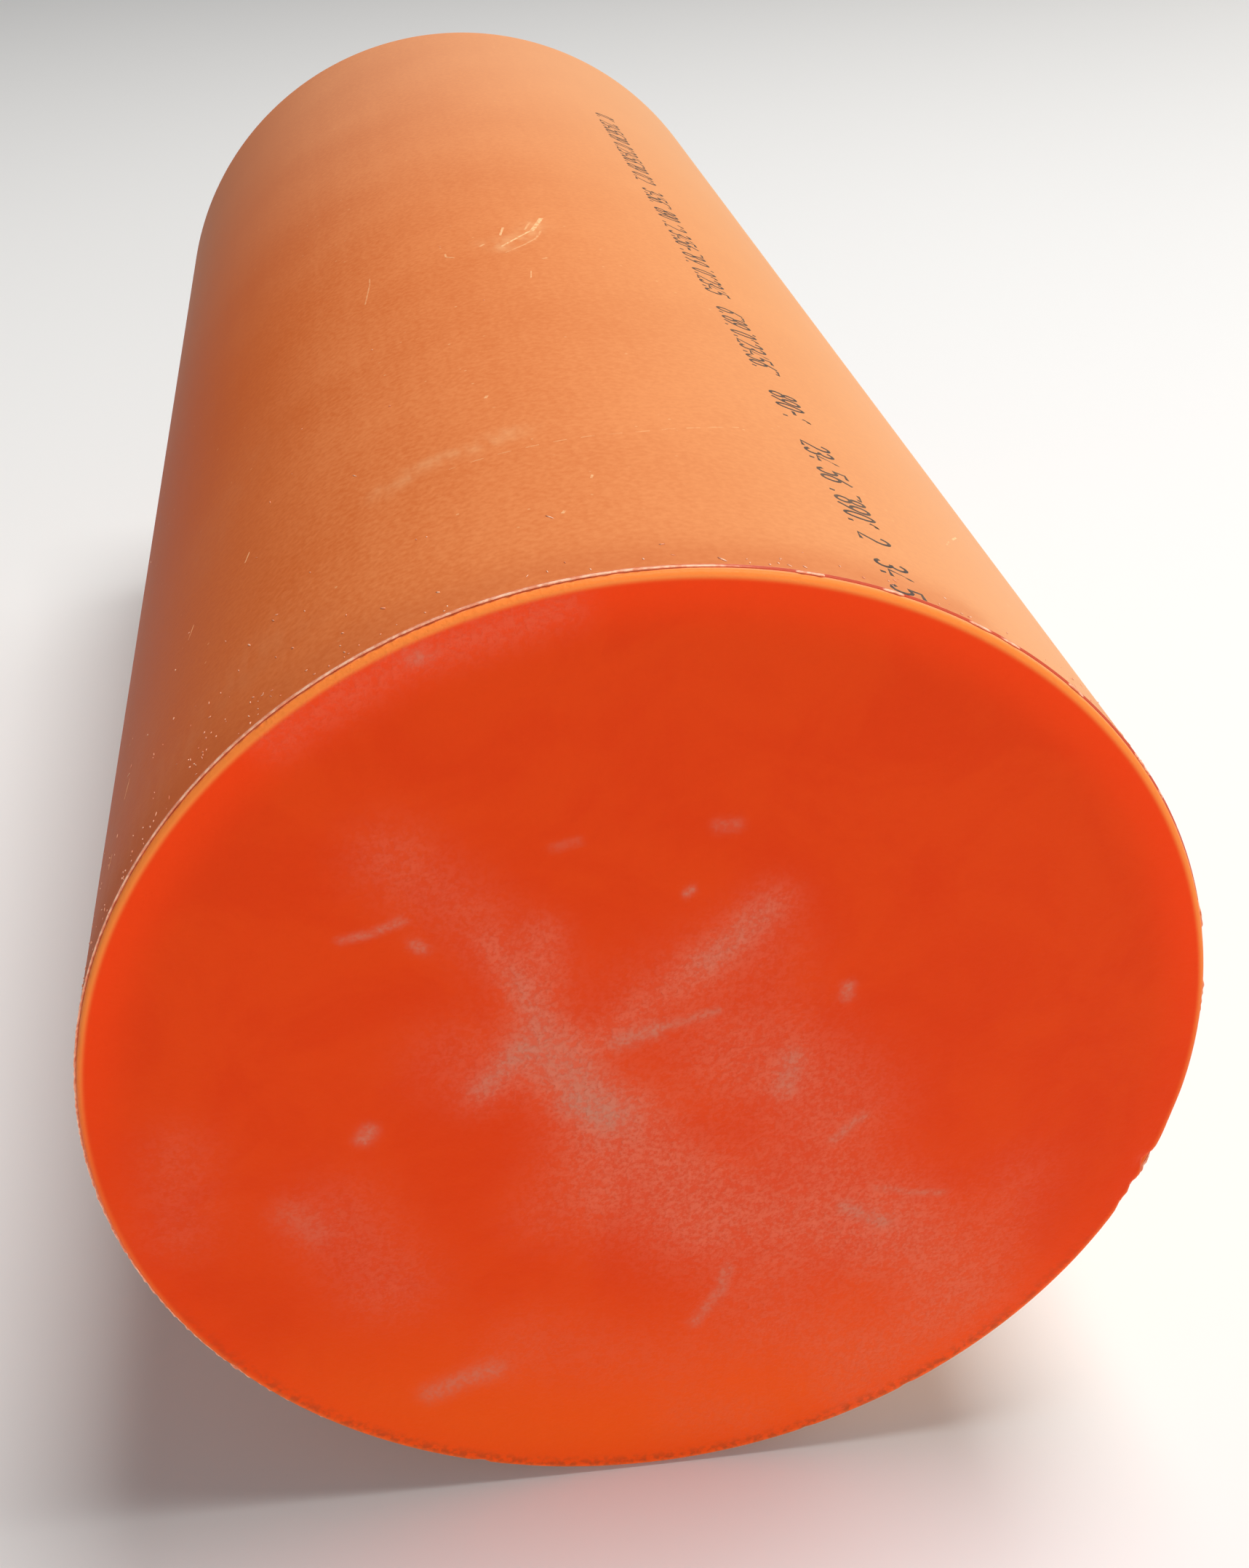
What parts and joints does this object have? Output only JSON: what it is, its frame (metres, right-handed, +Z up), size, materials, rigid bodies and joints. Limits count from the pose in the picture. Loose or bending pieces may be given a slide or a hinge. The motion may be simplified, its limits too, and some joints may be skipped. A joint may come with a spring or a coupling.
{
  "type": "plastic drain pipe with end cap",
  "caption": "Short sawn length of orange-brown plastic drain pipe, one end closed by a push-in cap and the other end open.",
  "frame": {"origin": "on the floor, under the middle of the overall length, with the pipe lying on its side", "axes": "+Y along the pipe's axis, from the capped end to the open end; +Z up; +X across"},
  "size_m": [0.1999, 0.4456, 0.2],
  "materials": {
    "pipe_plastic": "matt extruded, orange-brown",
    "cap_plastic": "satin moulded, orange-red"
  },
  "bodies": {
    "root": {"pipe": "pipe_plastic", "end_cap": "cap_plastic"}
  },
  "joints": []
}
